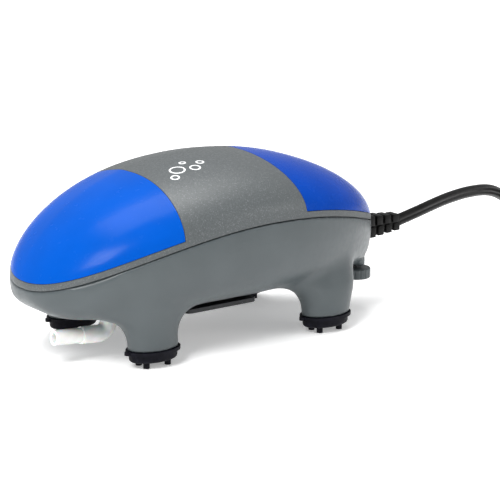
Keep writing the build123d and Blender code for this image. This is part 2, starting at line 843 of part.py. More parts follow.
def make_knob():
    low = knob_top_z - knob_height
    knob = upright(knob_radius, knob_x, knob_y, low, knob_top_z)
    knob = fillet(knob.edges().filter_by(GeomType.CIRCLE), 0.6)
    for i in range(16):
        a = 2 * math.pi * i / 16
        x = knob_x + (knob_radius + 0.35) * math.cos(a)
        y = knob_y + (knob_radius + 0.35) * math.sin(a)
        knob -= upright(0.6, x, y, low - 1, knob_top_z + 1)
    knob -= Pos(knob_x, knob_y - knob_radius + 2.4, low) * Box(0.8, 3.2, 0.8)
    return knob - upright(spindle_radius, knob_x, knob_y, low + 1.2, knob_top_z + 1)


def make_spindle():
    low = knob_top_z - knob_height + 1.2
    return upright(spindle_radius, knob_x, knob_y, low, pot_z + pot_height - 1)


def make_pot():
    pot = upright(pot_radius, knob_x, knob_y, pot_z, pot_z + pot_height)
    return pot - upright(spindle_radius + running_clearance, knob_x, knob_y, pot_z - 1, pot_z + pot_height - 0.9)


board_x = (57.0, 76.5)
board_y = (-14.5, -5.2)


def make_board():
    top = pot_z + pot_height
    return block(board_x[0], board_x[1], board_y[0], board_y[1], top, top + 1.6)


def make_board_parts():
    top = pot_z + pot_height + 1.6
    capacitor = block(61.0, 68.0, -14.0, -9.0, top, top + 6)
    triac = block(70.5, 74.0, -12.5, -8.5, top, top + 5)
    return Compound(children=[capacitor, triac])


def board_posts():
    return upright(2.2, board_x[0] + 3, -10.6, floor_z - 1, pot_z + pot_height)


# ---- Mains lead -------------------------------------------------------------------------------

lead_clamp_z = cord_z + cord_core_thickness / 2 + 0.1
lead_post_x = 67.0


def lead_screw_place():
    return (lead_post_x, 6.8)


def lead_post():
    post = block(lead_post_x - 3, lead_post_x + 3, -3.4, 3.4, floor_z - 1, cord_z - cord_core_thickness / 2)
    x, y = lead_screw_place()
    return post + upright(3.0, x, y, floor_z - 1, lead_clamp_z)


def make_lead_clamp():
    x, y = lead_screw_place()
    plate = block(lead_post_x - 3, lead_post_x + 3, -3.4, y + 3, lead_clamp_z, lead_clamp_z + 2)
    return plate - upright(clamp_screw_radius, x, y, lead_clamp_z - 1, lead_clamp_z + 3)


def make_lead_screw():
    x, y = lead_screw_place()
    top = lead_clamp_z + 2
    screw = upright(clamp_screw_radius, x, y, top - 8, top) + upright(2.3, x, y, top, top + 1.5)
    return screw - Pos(x, y, top + 1.5) * Box(3.2, 0.7, 1.0)


def make_inner_lead():
    half = cord_diameter / 2 - cord_core_thickness / 2
    face = Plane.YZ * SlotCenterToCenter(2 * half, cord_core_thickness)
    return Pos(lead_post_x - 5, 0, cord_z) * extrude(face, amount=relief_start_x - lead_post_x + 5)


relief_start_x = tail_x - 9.0
relief_neck_half = 3.6


def relief_neck():
    """The slot in the tail wall that the relief's neck fills."""
    return Pos(tail_x - 3, 0, cord_z) * Box(12, 2 * relief_neck_half, 2 * relief_neck_half)


def relief_section(x):
    share = (x - (tail_x + 0.6)) / (relief_length - 0.6)
    height = relief_root_height + (relief_end_height - relief_root_height) * share
    width = relief_root_width + (relief_end_width - relief_root_width) * share
    return Plane.YZ.offset(x) * (Pos(0, cord_z) * RectangleRounded(width, height, 1.6))


def make_strain_relief():
    """Moulded relief: flange inside the wall, neck, then a tapered ribbed body with open gaps."""
    start = tail_x + 0.6
    end = tail_x + relief_length
    body = loft([relief_section(start), relief_section(end)])
    pitch = (end - start - 2.4) / 4
    for i in range(4):
        x = start + 2.0 + i * pitch
        for side in (-1, 1):
            gap = Pos(x + 0.9 + (0.9 if side < 0 else 0), 0, cord_z + side * 5.4) * Box(1.8, 20, 6.6)
            body -= gap
    neck = block(relief_start_x + 1.5, start + 0.2, -relief_neck_half, relief_neck_half,
                 cord_z - relief_neck_half, cord_z + relief_neck_half)
    flange = block(relief_start_x, relief_start_x + 1.8, -4.4, 4.4, cord_z - 4.6, cord_z + 4.6)
    return body + neck + flange


cord_route = [
    (tail_x + relief_length, 0.0, cord_z),
    (120.3, 2.1, 34.4),
    (133.6, 6.3, 35.4),
    (149.4, 12.7, 35.6),
    (169.8, 21.2, 34.5),
    (193.5, 32.0, 30.6),
    (217.0, 46.5, 20.5),
    (236.5, 62.8, 10.2),
    (256.0, 77.0, 4.6),
    (coil_centre[0], coil_centre[1] + coil_mean_radius, 3.7),
]

plug_centre_x = coil_centre[0] + coil_mean_radius
cord_tail = [
    (plug_centre_x, coil_centre[1] - 2.0, 8.0),
    (plug_centre_x - 0.4, coil_centre[1] - 24.0, 7.6),
    (plug_centre_x, coil_centre[1] - 46.0, 7.0),
]


def corner_radii(points):
    radii = []
    for before, at, after in zip(points, points[1:], points[2:]):
        a = Vector(*at) - Vector(*before)
        b = Vector(*after) - Vector(*at)
        turn = math.radians(a.get_angle(b))
        radii.append(0.45 * min(a.length, b.length) / math.tan(turn / 2))
    return radii


def make_cord(points):
    radii = corner_radii(points)
    path = FilletPolyline(*points, radius=radii)
    cord = round_tube(path, cord_diameter / 2, 0)
    expected = math.pi * cord_diameter ** 2 / 4 * path.length
    print("cord length", round(path.length, 1), "radii", [round(r) for r in radii],
          "volume share", round(cord.volume / expected, 4))
    return cord


def make_cord_coil():
    half = 1.5 * cord_diameter
    x, y = coil_centre
    outer = upright(coil_mean_radius + half, x, y, coil_base_z, coil_base_z + 2 * cord_diameter)
    inner = upright(coil_mean_radius - half, x, y, coil_base_z - 1, coil_base_z + 2 * cord_diameter + 1)
    return outer - inner


def make_cord_tie():
    """A flat strap round the coil's section, on the side towards the pump."""
    x, y = coil_centre
    half = 1.5 * cord_diameter + 0.1
    height = 2 * cord_diameter + 0.1
    centre = Pos(x - coil_mean_radius, y, coil_base_z + cord_diameter)
    outer = centre * Box(2 * half + 1.6, 6, height + 1.6)
    outer = fillet(outer.edges().filter_by(Axis.Y), 2.0)
    return outer - centre * Box(2 * half + 0.6, 8, height)


def make_plug_body():
    y0 = coil_centre[1] - 46.0
    x = plug_centre_x
    z = plug_thickness / 2
    tip = Plane.XZ.offset(-y0) * (Pos(x, z) * RectangleRounded(9, 9, 3))
    shoulder = Plane.XZ.offset(-(y0 - 8)) * (Pos(x, z) * RectangleRounded(16, 11.5, 4))
    wide = Plane.XZ.offset(-(y0 - 20)) * (Pos(x, z) * RectangleRounded(30, plug_thickness, 5))
    face = Plane.XZ.offset(-(y0 - plug_length)) * (Pos(x, z) * RectangleRounded(plug_width, plug_thickness, 5))
    body = loft([tip, shoulder, wide, face], ruled=True)
    for side in (-1, 1):
        body -= plug_pin(x, z, y0, side)
    return body


def plug_pin(x, z, y0, side):
    face_y = y0 - plug_length
    return along_y(pin_radius, x + side * pin_spacing / 2, z, face_y - pin_length, face_y + 6)


def make_plug_pins():
    y0 = coil_centre[1] - 46.0
    pins = []
    for side in (-1, 1):
        pins.append(plug_pin(plug_centre_x, plug_thickness / 2, y0, side))
    return Compound(children=pins)


def make_wire(points, radius):
    return round_tube(FilletPolyline(*points, radius=radius), 0.8, 0)


def make_lead_wire():
    """From the lead's end, past the coil, to the far terminal."""
    top = drive_z + winding_half_height + 4.5
    _, x1 = bobbin_span()
    return make_wire([
        (lead_post_x - 5, 1.4, cord_z), (lead_post_x - 9, 4, cord_z + 2), (57.5, 12, drive_z + 6),
        (52.0, 12, top + 1), (x1 - 1.2, arm_y + 7, top + 1),
    ], 1.8)


def make_board_wire():
    """From the regulator board to the near terminal."""
    top = drive_z + winding_half_height + 4.5
    _, x1 = bobbin_span()
    board_top = pot_z + pot_height + 1.6
    return make_wire([
        (58.2, -8.2, board_top), (58.2, -8.2, board_top + 6), (57.5, -12, drive_z + 9),
        (52.0, -13, top + 1), (x1 - 1.2, arm_y - 7, top + 1),
    ], 1.8)


# ---- Build ------------------------------------------------------------------------------------

def save(name, shape):
    export_step(shape, f"parts/{name}.step")


def main():
    outer = housing_form(0)
    under_cap = housing_form(cap_wall)
    inner = housing_form(wall)
    tongue_outer = housing_form(wall + tongue_clearance)
    tongue_inner = housing_form(wall + tongue_clearance + 1.0)

    save("upper_housing", make_upper_housing(outer, under_cap, inner))
    save("front_cap", make_cap(True, outer, under_cap, inner))
    save("rear_cap", make_cap(False, outer, under_cap, inner))
    save("lower_housing", make_lower_housing(outer, under_cap, inner, tongue_outer, tongue_inner))
    names = ("foot_front_left", "foot_front_right", "foot_rear_left", "foot_rear_right")
    for name, (x, y, _) in zip(names, leg_places()):
        save(name, make_foot(x, y))
    save("housing_screws", make_housing_screws())
    save("filter_cover", make_filter_cover())
    save("filter_felt", make_filter_felt())
    save("iron_core", make_core())
    save("coil_bobbin", make_bobbin())
    save("coil_winding", make_winding())
    save("coil_terminals", make_terminals())
    save("damping_pads", make_damping_pads())
    save("core_clamp", make_core_clamp())
    save("core_clamp_screws", make_clamp_screws())
    save("lever", make_lever())
    save("lever_magnet", make_magnet())
    save("pivot_pin", make_pivot_pin())
    save("pivot_bracket", make_pivot_bracket())
    save("diaphragm", make_diaphragm())
    save("diaphragm_washers", make_diaphragm_washers())
    save("diaphragm_bolt", make_diaphragm_bolt())
    save("diaphragm_ring", make_clamp_ring())
    save("pump_chamber", make_chamber_body())
    save("valve_plate", make_valve_plate())
    save("inlet_flap", make_flap(-1))
    save("outlet_flap", make_flap(1))
    save("head_cover", make_head_cover())
    save("head_bolts", make_head_bolts())
    save("inner_hose", make_inner_hose())
    save("outlet_elbow", make_outlet_elbow())
    save("regulator_knob", make_knob())
    save("regulator_spindle", make_spindle())
    save("regulator_pot", make_pot())
    save("regulator_board", make_board())
    save("board_components", make_board_parts())
    save("lead_clamp", make_lead_clamp())
    save("lead_clamp_screw", make_lead_screw())
    save("inner_lead", make_inner_lead())
    save("lead_wire", make_lead_wire())
    save("board_wire", make_board_wire())
    save("strain_relief", make_strain_relief())
    save("cord", make_cord(cord_route))
    save("cord_tail", make_cord(cord_tail))
    save("cord_coil", make_cord_coil())
    save("cord_tie", make_cord_tie())
    save("plug_body", make_plug_body())
    save("plug_pins", make_plug_pins())


main()
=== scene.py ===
import json
import math

import bmesh
import bpy
import numpy as np
from mathutils import Matrix, Vector


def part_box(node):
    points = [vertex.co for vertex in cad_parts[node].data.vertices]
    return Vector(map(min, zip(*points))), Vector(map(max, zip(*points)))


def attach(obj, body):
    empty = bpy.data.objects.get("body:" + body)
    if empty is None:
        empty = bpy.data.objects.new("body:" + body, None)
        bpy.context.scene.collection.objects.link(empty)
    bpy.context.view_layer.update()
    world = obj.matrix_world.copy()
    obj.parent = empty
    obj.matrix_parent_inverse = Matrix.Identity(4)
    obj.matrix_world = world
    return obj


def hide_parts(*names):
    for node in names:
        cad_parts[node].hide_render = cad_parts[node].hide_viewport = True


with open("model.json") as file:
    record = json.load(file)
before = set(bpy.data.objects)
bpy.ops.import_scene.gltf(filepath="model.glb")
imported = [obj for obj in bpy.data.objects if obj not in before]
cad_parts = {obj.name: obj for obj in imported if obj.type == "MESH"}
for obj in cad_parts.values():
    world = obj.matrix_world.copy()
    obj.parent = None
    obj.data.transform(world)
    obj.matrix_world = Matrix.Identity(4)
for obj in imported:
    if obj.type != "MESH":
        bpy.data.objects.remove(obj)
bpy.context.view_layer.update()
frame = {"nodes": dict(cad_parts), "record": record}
nodes = frame["nodes"]
scene = bpy.context.scene
MM = 0.001


# ---- Camera ------------------------------------------------------------------------------------

def make_camera():
    data = bpy.data.cameras.new("camera")
    data.sensor_width = 36.0
    data.lens = 168.65
    data.clip_start = 0.05
    data.clip_end = 50
    camera = bpy.data.objects.new("camera", data)
    scene.collection.objects.link(camera)
    camera.location = (-0.55306, -0.79790, 0.28047)
    target = Vector((0.01707, -0.01228, 0.03517))
    camera.rotation_euler = (target - camera.location).to_track_quat("-Z", "Y").to_euler()
    scene.camera = camera


make_camera()


# ---- Node helpers ------------------------------------------------------------------------------

class Nodes:
    """A material with a Principled shader, and short calls to build the nodes before it."""

    def __init__(self, name, color, roughness, **sockets):
        self.material = bpy.data.materials.new(name)
        self.material.use_nodes = True
        self.tree = self.material.node_tree
        self.shader = self.tree.nodes["Principled BSDF"]
        self.shader.inputs["Base Color"].default_value = (*color, 1)
        self.shader.inputs["Roughness"].default_value = roughness
        for socket, value in sockets.items():
            self.shader.inputs[socket.replace("_", " ")].default_value = value
        self.place = self.add("ShaderNodeTexCoord").outputs["Object"]

    def add(self, kind, **settings):
        node = self.tree.nodes.new(kind)
        for key, value in settings.items():
            setattr(node, key, value)
        return node

    def link(self, source, target):
        self.tree.links.new(source, target)

    def noise(self, scale, detail=2.0, stretch=None):
        node = self.add("ShaderNodeTexNoise")
        node.inputs["Scale"].default_value = scale
        node.inputs["Detail"].default_value = detail
        place = self.place
        if stretch:
            mapping = self.add("ShaderNodeMapping")
            mapping.inputs["Scale"].default_value = stretch
            self.link(self.place, mapping.inputs["Vector"])
            place = mapping.outputs["Vector"]
        self.link(place, node.inputs["Vector"])
        return node.outputs["Fac"]

    def cells(self, scale):
        node = self.add("ShaderNodeTexVoronoi")
        node.inputs["Scale"].default_value = scale
        self.link(self.place, node.inputs["Vector"])
        return node

    def bands(self, scale, axis, distortion=0.0):
        node = self.add("ShaderNodeTexWave", bands_direction=axis)
        node.inputs["Scale"].default_value = scale
        node.inputs["Distortion"].default_value = distortion
        self.link(self.place, node.inputs["Vector"])
        return node.outputs["Fac"]

    def ramp(self, source, *stops):
        """stops are (position, colour) pairs."""
        node = self.add("ShaderNodeValToRGB")
        elements = node.color_ramp.elements
        while len(elements) < len(stops):
            elements.new(0.5)
        for element, (position, color) in zip(elements, stops):
            element.position = position
            element.color = (*color, 1)
        self.link(source, node.inputs["Fac"])
        return node.outputs["Color"]

    def span(self, source, low, high, source_low=0.3, source_high=0.7):
        node = self.add("ShaderNodeMapRange")
        node.inputs["From Min"].default_value = source_low
        node.inputs["From Max"].default_value = source_high
        node.inputs["To Min"].default_value = low
        node.inputs["To Max"].default_value = high
        self.link(source, node.inputs["Value"])
        return node.outputs["Result"]

    def math(self, operation, a, b=None, c=None):
        node = self.add("ShaderNodeMath", operation=operation)
        for socket, value in zip(node.inputs, (a, b, c)):
            if value is None:
                continue
            if isinstance(value, (int, float)):
                socket.default_value = value
            else:
                self.link(value, socket)
        return node.outputs["Value"]

    def mix(self, factor, a, b):
        node = self.add("ShaderNodeMix", data_type="RGBA")
        self.link(factor, node.inputs["Factor"])
        for socket, value in ((node.inputs[6], a), (node.inputs[7], b)):
            if isinstance(value, tuple):
                socket.default_value = (*value, 1)
            else:
                self.link(value, socket)
        return node.outputs[2]

    def color(self, source):
        self.link(source, self.shader.inputs["Base Color"])

    def roughness(self, source):
        self.link(source, self.shader.inputs["Roughness"])

    def bump(self, *layers):
        """layers are (source, strength, distance in metres), the coarsest first."""
        normal = None
        for source, strength, distance in layers:
            node = self.add("ShaderNodeBump")
            node.inputs["Strength"].default_value = strength
            node.inputs["Distance"].default_value = distance
            self.link(source, node.inputs["Height"])
            if normal:
                self.link(normal, node.inputs["Normal"])
            normal = node.outputs["Normal"]
        self.link(normal, self.shader.inputs["Normal"])


def shades(color, spread):
    """A colour a little darker and a little lighter."""
    return (tuple(c * (1 - spread) for c in color), tuple(min(1.0, c * (1 + spread)) for c in color))


def moulded(name, color, roughness, grain=2200.0, relief=0.12, spread=0.06, uneven=0.05, **sockets):
    """Moulded plastic or rubber: fine grain, faint cloudy colour and uneven gloss."""
    m = Nodes(name, color, roughness, **sockets)
    dark, light = shades(color, spread)
    m.color(m.ramp(m.noise(90.0, 4.0), (0.35, dark), (0.65, light)))
    m.roughness(m.span(m.noise(240.0, 3.0), roughness - uneven, roughness + uneven))
    m.bump((m.noise(grain, 3.0), relief, 0.00012))
    return m.material


def metal(name, color, roughness, stretch, relief=0.1):
    """Plated or brushed metal with fine drawn lines."""
    m = Nodes(name, color, roughness, Metallic=1.0)
    dark, light = shades(color, 0.12)
    lines = m.noise(1500.0, 2.0, stretch)
    m.color(m.ramp(lines, (0.35, dark), (0.65, light)))
    m.roughness(m.span(lines, roughness - 0.08, roughness + 0.1))
    m.bump((lines, relief, 0.00005))
    return m.material


def band_grey():
    """The upper housing: grainy grey plastic that sparkles a little through painted glints, lighter flecks in
    its colour, with a printed motif of rings.
    """
    base = (0.076, 0.085, 0.088)
    m = Nodes("band_grey", base, 0.40, Specular_IOR_Level=0.45)
    # Painted glints: a few random cells get a lighter grey, standing in for the sparkle of light on the
    # grain.
    speck = m.cells(2600.0).outputs["Color"]
    glint_split = m.add("ShaderNodeSeparateColor")
    m.link(speck, glint_split.inputs["Color"])
    dark, light = shades(base, 0.16)
    grain = m.ramp(m.noise(1900.0, 3.0), (0.3, dark), (0.7, light))
    painted_glint = m.span(glint_split.outputs["Red"], 0.0, 0.75, 0.86, 0.98)
    grain_and_glint = m.mix(painted_glint, grain, (0.145, 0.155, 0.16))
    rings = ring_mask(m)
    m.color(m.mix(rings, grain_and_glint, (0.82, 0.83, 0.84)))
    m.roughness(m.span(m.noise(900.0, 3.0), 0.33, 0.52))
    m.bump((m.noise(1500.0, 3.0), 0.22, 0.00018), (speck_height(m), 0.10, 0.0001))
    return m.material


def speck_height(m):
    return m.cells(3200.0).outputs["Distance"]


# x, y and radius of each ring, in millimetres
RINGS = (
    (-21.0, -13.5, 3.1), (-13.6, -15.8, 2.1), (-8.6, -12.0, 1.5), (-15.0, -8.4, 1.2), (-25.5, -18.6, 1.6),
)


RING_LINE_HALF = 0.38 * MM
BAND_TOP_Z = 60.0 * MM


def ring_mask(m):
    """1 on thin printed rings on top of the band, 0 elsewhere."""
    split = m.add("ShaderNodeSeparateXYZ")
    m.link(m.place, split.inputs["Vector"])
    x, y, z = (split.outputs[i] for i in range(3))
    total = None
    for cx, cy, radius in RINGS:
        dx = m.math("SUBTRACT", x, cx * MM)
        dy = m.math("SUBTRACT", y, cy * MM)
        reach = m.math("SQRT", m.math("ADD", m.math("MULTIPLY", dx, dx), m.math("MULTIPLY", dy, dy)))
        off = m.math("ABSOLUTE", m.math("SUBTRACT", reach, radius * MM))
        ring = m.math("LESS_THAN", off, RING_LINE_HALF)
        total = ring if total is None else m.math("MAXIMUM", total, ring)
    top = m.math("GREATER_THAN", z, BAND_TOP_Z)
    return m.math("MULTIPLY", total, top)


def hull_grey():
    """The lower housing: smoother satin grey."""
    base = (0.070, 0.083, 0.088)
    m = Nodes("hull_grey", base, 0.36, Specular_IOR_Level=0.35)
    dark, light = shades(base, 0.05)
    m.color(m.ramp(m.noise(60.0, 4.0), (0.35, dark), (0.65, light)))
    m.roughness(m.span(m.noise(500.0, 4.0), 0.31, 0.43))
    m.bump((m.noise(1300.0, 3.0), 0.10, 0.00012))
    return m.material


def cap_blue(name, base, roughness):
    """A glossy cap with a clear coat and a hint of orange peel."""
    m = Nodes(name, base, roughness, Specular_IOR_Level=0.06, Coat_Weight=0.02, Coat_Roughness=0.1)
    dark, light = shades(base, 0.05)
    m.color(m.ramp(m.noise(35.0, 3.0), (0.35, dark), (0.65, light)))
    m.roughness(m.span(m.noise(300.0, 3.0), roughness - 0.03, roughness + 0.04))
    m.bump((m.noise(260.0, 2.0), 0.05, 0.0002))
    return m.material


def felt_white():
    m = Nodes("felt_white", (0.72, 0.70, 0.62), 0.95, Sheen_Weight=0.4)
    fibres = m.noise(1400.0, 5.0, (1.0, 0.3, 1.0))
    m.color(m.ramp(fibres, (0.3, (0.52, 0.50, 0.44)), (0.7, (0.82, 0.80, 0.74))))
    m.bump((fibres, 0.8, 0.0004))
    return m.material


def laminated_iron():
    m = Nodes("laminated_iron", (0.12, 0.12, 0.13), 0.5, Metallic=0.8)
    sheets = m.bands(320.0, "Z", 0.4)
    m.color(m.ramp(sheets, (0.2, (0.05, 0.05, 0.055)), (0.6, (0.2, 0.2, 0.21))))
    m.bump((sheets, 0.6, 0.0003))
    return m.material


def wound_copper():
    m = Nodes("wound_copper", (0.5, 0.19, 0.07), 0.3, Metallic=0.9)
    turns = m.bands(640.0, "X", 0.8)
    m.color(m.ramp(turns, (0.1, (0.22, 0.07, 0.03)), (0.6, (0.62, 0.26, 0.11))))
    m.bump((turns, 0.8, 0.0003))
    return m.material


def circuit_green():
    m = Nodes("circuit_green", (0.03, 0.18, 0.08), 0.35)
    tracks = m.bands(420.0, "Y", 6.0)
    m.color(m.ramp(tracks, (0.45, (0.02, 0.13, 0.05)), (0.55, (0.05, 0.28, 0.12))))
    m.bump((tracks, 0.3, 0.00008))
    return m.material


def silicone_white():
    m = Nodes("silicone_white", (0.86, 0.86, 0.84), 0.38, Subsurface_Weight=0.35, Subsurface_Scale=0.002)
    m.color(m.ramp(m.noise(160.0, 3.0), (0.35, (0.80, 0.80, 0.78)), (0.65, (0.90, 0.90, 0.885))))
    m.roughness(m.span(m.noise(700.0, 2.0), 0.32, 0.46))
    m.bump((m.noise(900.0, 2.0), 0.08, 0.0001))
    return m.material


def cord_vinyl():
    m = Nodes("cord_vinyl", (0.003, 0.003, 0.003), 0.33, Specular_IOR_Level=0.15)
    m.color(m.ramp(m.noise(300.0, 3.0), (0.35, (0.002, 0.002, 0.002)), (0.65, (0.005, 0.005, 0.005))))
    m.roughness(m.span(m.noise(900.0, 3.0), 0.30, 0.44))
    m.bump((m.noise(1600.0, 2.0), 0.10, 0.0001))
    return m.material


def foot_rubber():
    base = (0.003, 0.003, 0.006)
    m = Nodes("foot_rubber", base, 0.5, Specular_IOR_Level=0.1)
    m.color(m.ramp(m.noise(400.0, 4.0), (0.3, (0.002, 0.002, 0.004)), (0.7, (0.006, 0.006, 0.011))))
    m.roughness(m.span(m.noise(600.0, 3.0), 0.42, 0.62))
    m.bump((m.noise(1200.0, 4.0), 0.25, 0.0002))
    return m.material


MATERIALS = {
    "grey_grained": band_grey(),
    "grey_satin": hull_grey(),
    "blue_gloss": cap_blue("cap_blue", (0.0, 0.072, 0.42), 0.24),
    "rubber_black": foot_rubber(),
    "dark_plastic": moulded("dark_plastic", (0.010, 0.011, 0.013), 0.42, Specular_IOR_Level=0.3),
    "natural_plastic": moulded("natural_plastic", (0.60, 0.58, 0.50), 0.4, relief=0.08),
    "felt": felt_white(),
    "steel": metal("plated_steel", (0.60, 0.60, 0.58), 0.3, (1.0, 1.0, 0.08)),
    "iron": laminated_iron(),
    "copper": wound_copper(),
    "magnet": moulded("ferrite", (0.035, 0.035, 0.038), 0.55, grain=3000.0, relief=0.3),
    "brass": metal("tinned_brass", (0.70, 0.58, 0.32), 0.28, (1.0, 1.0, 0.1)),
    "silicone": silicone_white(),
    "circuit_board": circuit_green(),
    "cord_black": cord_vinyl(),
    "wire_blue": moulded("wire_blue", (0.015, 0.06, 0.40), 0.35),
    "wire_brown": moulded("wire_brown", (0.11, 0.04, 0.015), 0.35),
    "nickel": metal("nickel", (0.72, 0.68, 0.60), 0.22, (1.0, 0.1, 1.0)),
}


def paint(piece, material):
    slots = piece.material_slots
    if not slots:
        piece.data.materials.append(material)
    for entry in slots:
        entry.material = material


for part in frame["record"]["subparts"]:
    paint(nodes[part["node"]], MATERIALS[part["material_slot"]])
# The rear cap is the same glossy blue as the front cap, given a darker copy of it: painted shade.
paint(nodes["rear_cap"], cap_blue("rear_cap_blue_painted_shade", (0.0, 0.045, 0.33), 0.26))
paint(nodes["regulator_spindle"], moulded("spindle_grey", (0.05, 0.055, 0.058), 0.45, Specular_IOR_Level=0.3))


# ---- Piece helpers -----------------------------------------------------------------------------

def new_piece(name, mesh, slot, body="root", material=None):
    piece = bpy.data.objects.new(name, mesh)
    scene.collection.objects.link(piece)
    mesh.materials.clear()
    mesh.materials.append(material or MATERIALS[slot])
    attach(piece, body)
    return piece


def smooth(mesh, angle=None):
    for polygon in mesh.polygons:
        polygon.use_smooth = True
    if angle:
        mesh.set_sharp_from_angle(angle=math.radians(angle))


def mesh_of(name, bm):
    mesh = bpy.data.meshes.new(name)
    bmesh.ops.recalc_face_normals(bm, faces=bm.faces)
    bm.to_mesh(mesh)
    bm.free()
    return mesh


# ---- Lower housing -----------------------------------------------------------------------------

VOXEL = 0.65 * MM

# The values below are in millimetres, up to the smoothing's own steps, pull and facing.
LEGS = [(x, y) for x in (-45.5, 43.5) for y in (-31.0, 31.0)]
SOCKET_FILL_RADIUS = 3.8
SOCKET_FILL_HEIGHT = 8.0
SOCKET_FILL_Z = 29.0
LEG_REACH = 34.0           # smoothing ends this far from a leg, along X
LEG_REACH_FADE = 8.0
MIDLINE_CLEARANCE = 6.0
BLEND_BOTTOM = 9.0         # smoothing starts above this height
BLEND_BOTTOM_FADE = 4.0
BLEND_TOP = 42.0           # and ends below this one, short of the seam
BLEND_TOP_FADE = 6.0
SPINE_HALF_LENGTH = 45.0   # a line inside the hull, which outer walls face away from
SPINE_Z = 45.0
CAVITY_HALF_LENGTH = 62.0
CAVITY_HALF_WIDTH = 27.0
CAVITY_FLOOR = 20.6
SMOOTHING_STEPS = 90
SMOOTHING_PULL = 0.6
INWARD_LIMIT = -0.35       # walls that face the midline more than this are left alone


def blended_hull():
    """The lower housing again, with its legs flowing softly into the hull. The screw sockets' ends are
    filled, because the wall beside them is thinner than a voxel."""
    bm = bmesh.new()
    bm.from_mesh(nodes["lower_housing"].data)
    for leg_x, leg_y in LEGS:
        bmesh.ops.create_cone(
            bm, cap_ends=True, segments=32, depth=SOCKET_FILL_HEIGHT * MM,
            radius1=SOCKET_FILL_RADIUS * MM, radius2=SOCKET_FILL_RADIUS * MM,
            matrix=Matrix.Translation((leg_x * MM, leg_y * MM, SOCKET_FILL_Z * MM)),
        )
    mesh = mesh_of("lower_shell", bm)
    piece = bpy.data.objects.new("lower_shell", mesh)
    scene.collection.objects.link(piece)
    remesh = piece.modifiers.new("remesh", "REMESH")
    remesh.mode = "VOXEL"
    remesh.voxel_size = VOXEL
    bpy.context.view_layer.update()
    fine = bpy.data.meshes.new_from_object(piece.evaluated_get(bpy.context.evaluated_depsgraph_get()))
    bpy.data.objects.remove(piece)
    soften(fine)
    fine.name = "lower_shell"
    smooth(fine, 55)
    return fine


def soften(mesh):
    """Evens out the creases where legs and hull meet, and leaves the rest of the housing as it is."""
    count = len(mesh.vertices)
    place = np.empty(count * 3)
    mesh.vertices.foreach_get("co", place)
    place = place.reshape(-1, 3)
    normal = np.empty(count * 3)
    mesh.vertices.foreach_get("normal", normal)
    normal = normal.reshape(-1, 3)
    edges = np.empty(len(mesh.edges) * 2, int)
    mesh.edges.foreach_get("vertices", edges)
    a, b = edges.reshape(-1, 2).T
    degree = np.bincount(np.r_[a, b], minlength=count).reshape(-1, 1)
    x, y, z = place.T / MM
    share = np.zeros(count)
    for leg_x, leg_y in LEGS:
        along = np.clip((LEG_REACH - abs(x - leg_x)) / LEG_REACH_FADE, 0, 1)
        outward = normal[:, 1] * np.sign(leg_y) > INWARD_LIMIT
        near = (y * leg_y > 0) & (abs(y) > MIDLINE_CLEARANCE) & outward
        share = np.maximum(share, along * near)
    rising = np.clip((z - BLEND_BOTTOM) / BLEND_BOTTOM_FADE, 0, 1)
    share *= rising * np.clip((BLEND_TOP - z) / BLEND_TOP_FADE, 0, 1)
    share *= outside(x, y, z, normal)
    weight = share.reshape(-1, 1)
    for _ in range(SMOOTHING_STEPS):
        total = np.zeros_like(place)
        for axis in range(3):
            total[:, axis] = np.bincount(a, place[b, axis], count) + np.bincount(b, place[a, axis], count)
        place += weight * SMOOTHING_PULL * (total / degree - place)
    mesh.vertices.foreach_set("co", place.ravel())
    mesh.update()


def outside(x, y, z, normal):
    """1 on the housing's outer side, 0 on the walls that face into it."""
    spine = np.clip(x, -SPINE_HALF_LENGTH, SPINE_HALF_LENGTH)
    core = np.stack([spine, np.zeros_like(y), np.full_like(z, SPINE_Z)], axis=1)
    away = np.stack([x, y, z], axis=1) - core
    facing = (away * normal).sum(axis=1) / np.linalg.norm(away, axis=1)
    inner = (abs(x) < CAVITY_HALF_LENGTH) & (abs(y) < CAVITY_HALF_WIDTH) & (z > CAVITY_FLOOR)
    return 1.0 - inner * np.clip((0.5 - facing) / 0.3, 0, 1)


shell = new_piece("lower_shell", blended_hull(), "grey_satin")
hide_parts("lower_housing")


# ---- Mains lead --------------------------------------------------------------------------------

COIL = (279.0, 52.0)
ROUTE = [
    (108.5, 0.0, 33.0), (120.3, 2.1, 34.4), (133.6, 6.3, 35.4), (149.4, 12.7, 35.6), (169.8, 21.2, 34.5),
    (193.5, 32.0, 30.6), (217.0, 46.5, 20.5), (236.5, 63.2, 10.2), (254.5, 79.5, 4.6), (266.5, 86.2, 3.8),
]
RING_RADII = (35.4, 29.9, 24.4)
LAYERS = (3.75, 9.3)
STEPS_PER_TURN = 16


def coil_points():
    """Control points of five and a quarter turns: inwards in the lower layer, back out in the upper one.
    Each ring keeps its radius, and steps to the next over a short stretch."""
    rings = [(r, LAYERS[0]) for r in RING_RADII] + [(r, LAYERS[1]) for r in RING_RADII[::-1]]
    points = []
    step = 2 * math.pi / STEPS_PER_TURN
    for i in range(round(5.25 * STEPS_PER_TURN) + 1):
        ring, along = divmod(i / STEPS_PER_TURN, 1.0)
        ring = int(ring)
        r, z = rings[ring]
        blend = max(0.0, (along - 0.80) / 0.20)
        blend = blend * blend * (3 - 2 * blend)
        if ring + 1 < len(rings):
            r += (rings[ring + 1][0] - r) * blend
            z += (rings[ring + 1][1] - z) * blend
        a = math.pi / 2 - i * step
        swell = 1 / math.cos(step / 2) ** 0.5
        points.append((COIL[0] + r * swell * math.cos(a), COIL[1] + r * swell * math.sin(a), z))
    return points


TAIL = [(314.2, 39.0, 9.0), (311.6, 26.0, 7.6), (309.3, 15.0, 7.0), (309.0, 6.0, 7.0)]


